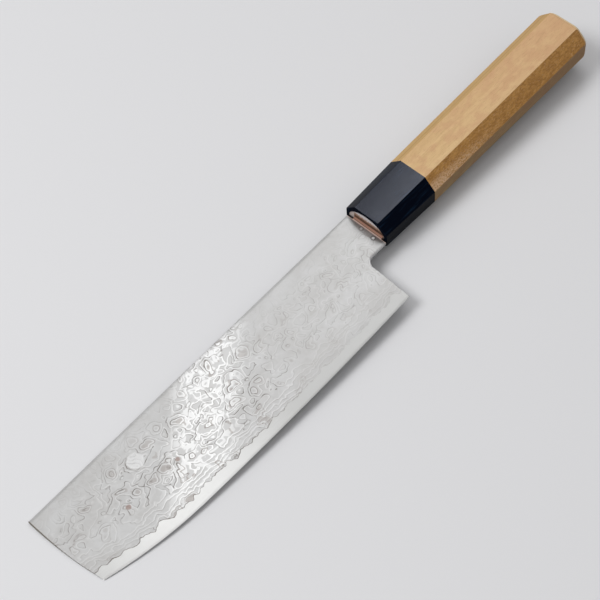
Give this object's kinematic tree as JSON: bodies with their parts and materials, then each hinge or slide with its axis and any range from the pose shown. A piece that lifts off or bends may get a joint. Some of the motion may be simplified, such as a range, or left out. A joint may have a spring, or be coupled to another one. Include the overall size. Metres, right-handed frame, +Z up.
{
  "type": "nakiri knife",
  "caption": "Double-bevelled vegetable knife with a tall, nearly straight layered-steel blade, an octagonal wooden stick-tang handle and a black horn ferrule.",
  "frame": {"origin": "on the table under the middle of the knife, which lies on its right face", "axes": "+X along the handle towards the butt, so the blade's tip points to -X; +Y from the cutting edge towards the spine; +Z up, out of the blade's left face"},
  "size_m": [0.3144, 0.0484, 0.0241],
  "materials": {
    "core_steel": "fine satin, ground to the cutting edge",
    "cladding_steel": "satin with an etched pattern of forged layers",
    "bedding_resin": "dull, dark brown",
    "horn": "polished black horn",
    "magnolia_wood": "bare, finely sanded wood"
  },
  "bodies": {
    "root": {"core_steel": "core_steel", "cladding_left": "cladding_steel", "cladding_right": "cladding_steel", "tang_bedding": "bedding_resin", "ferrule": "horn", "handle_body": "magnolia_wood"}
  },
  "joints": []
}
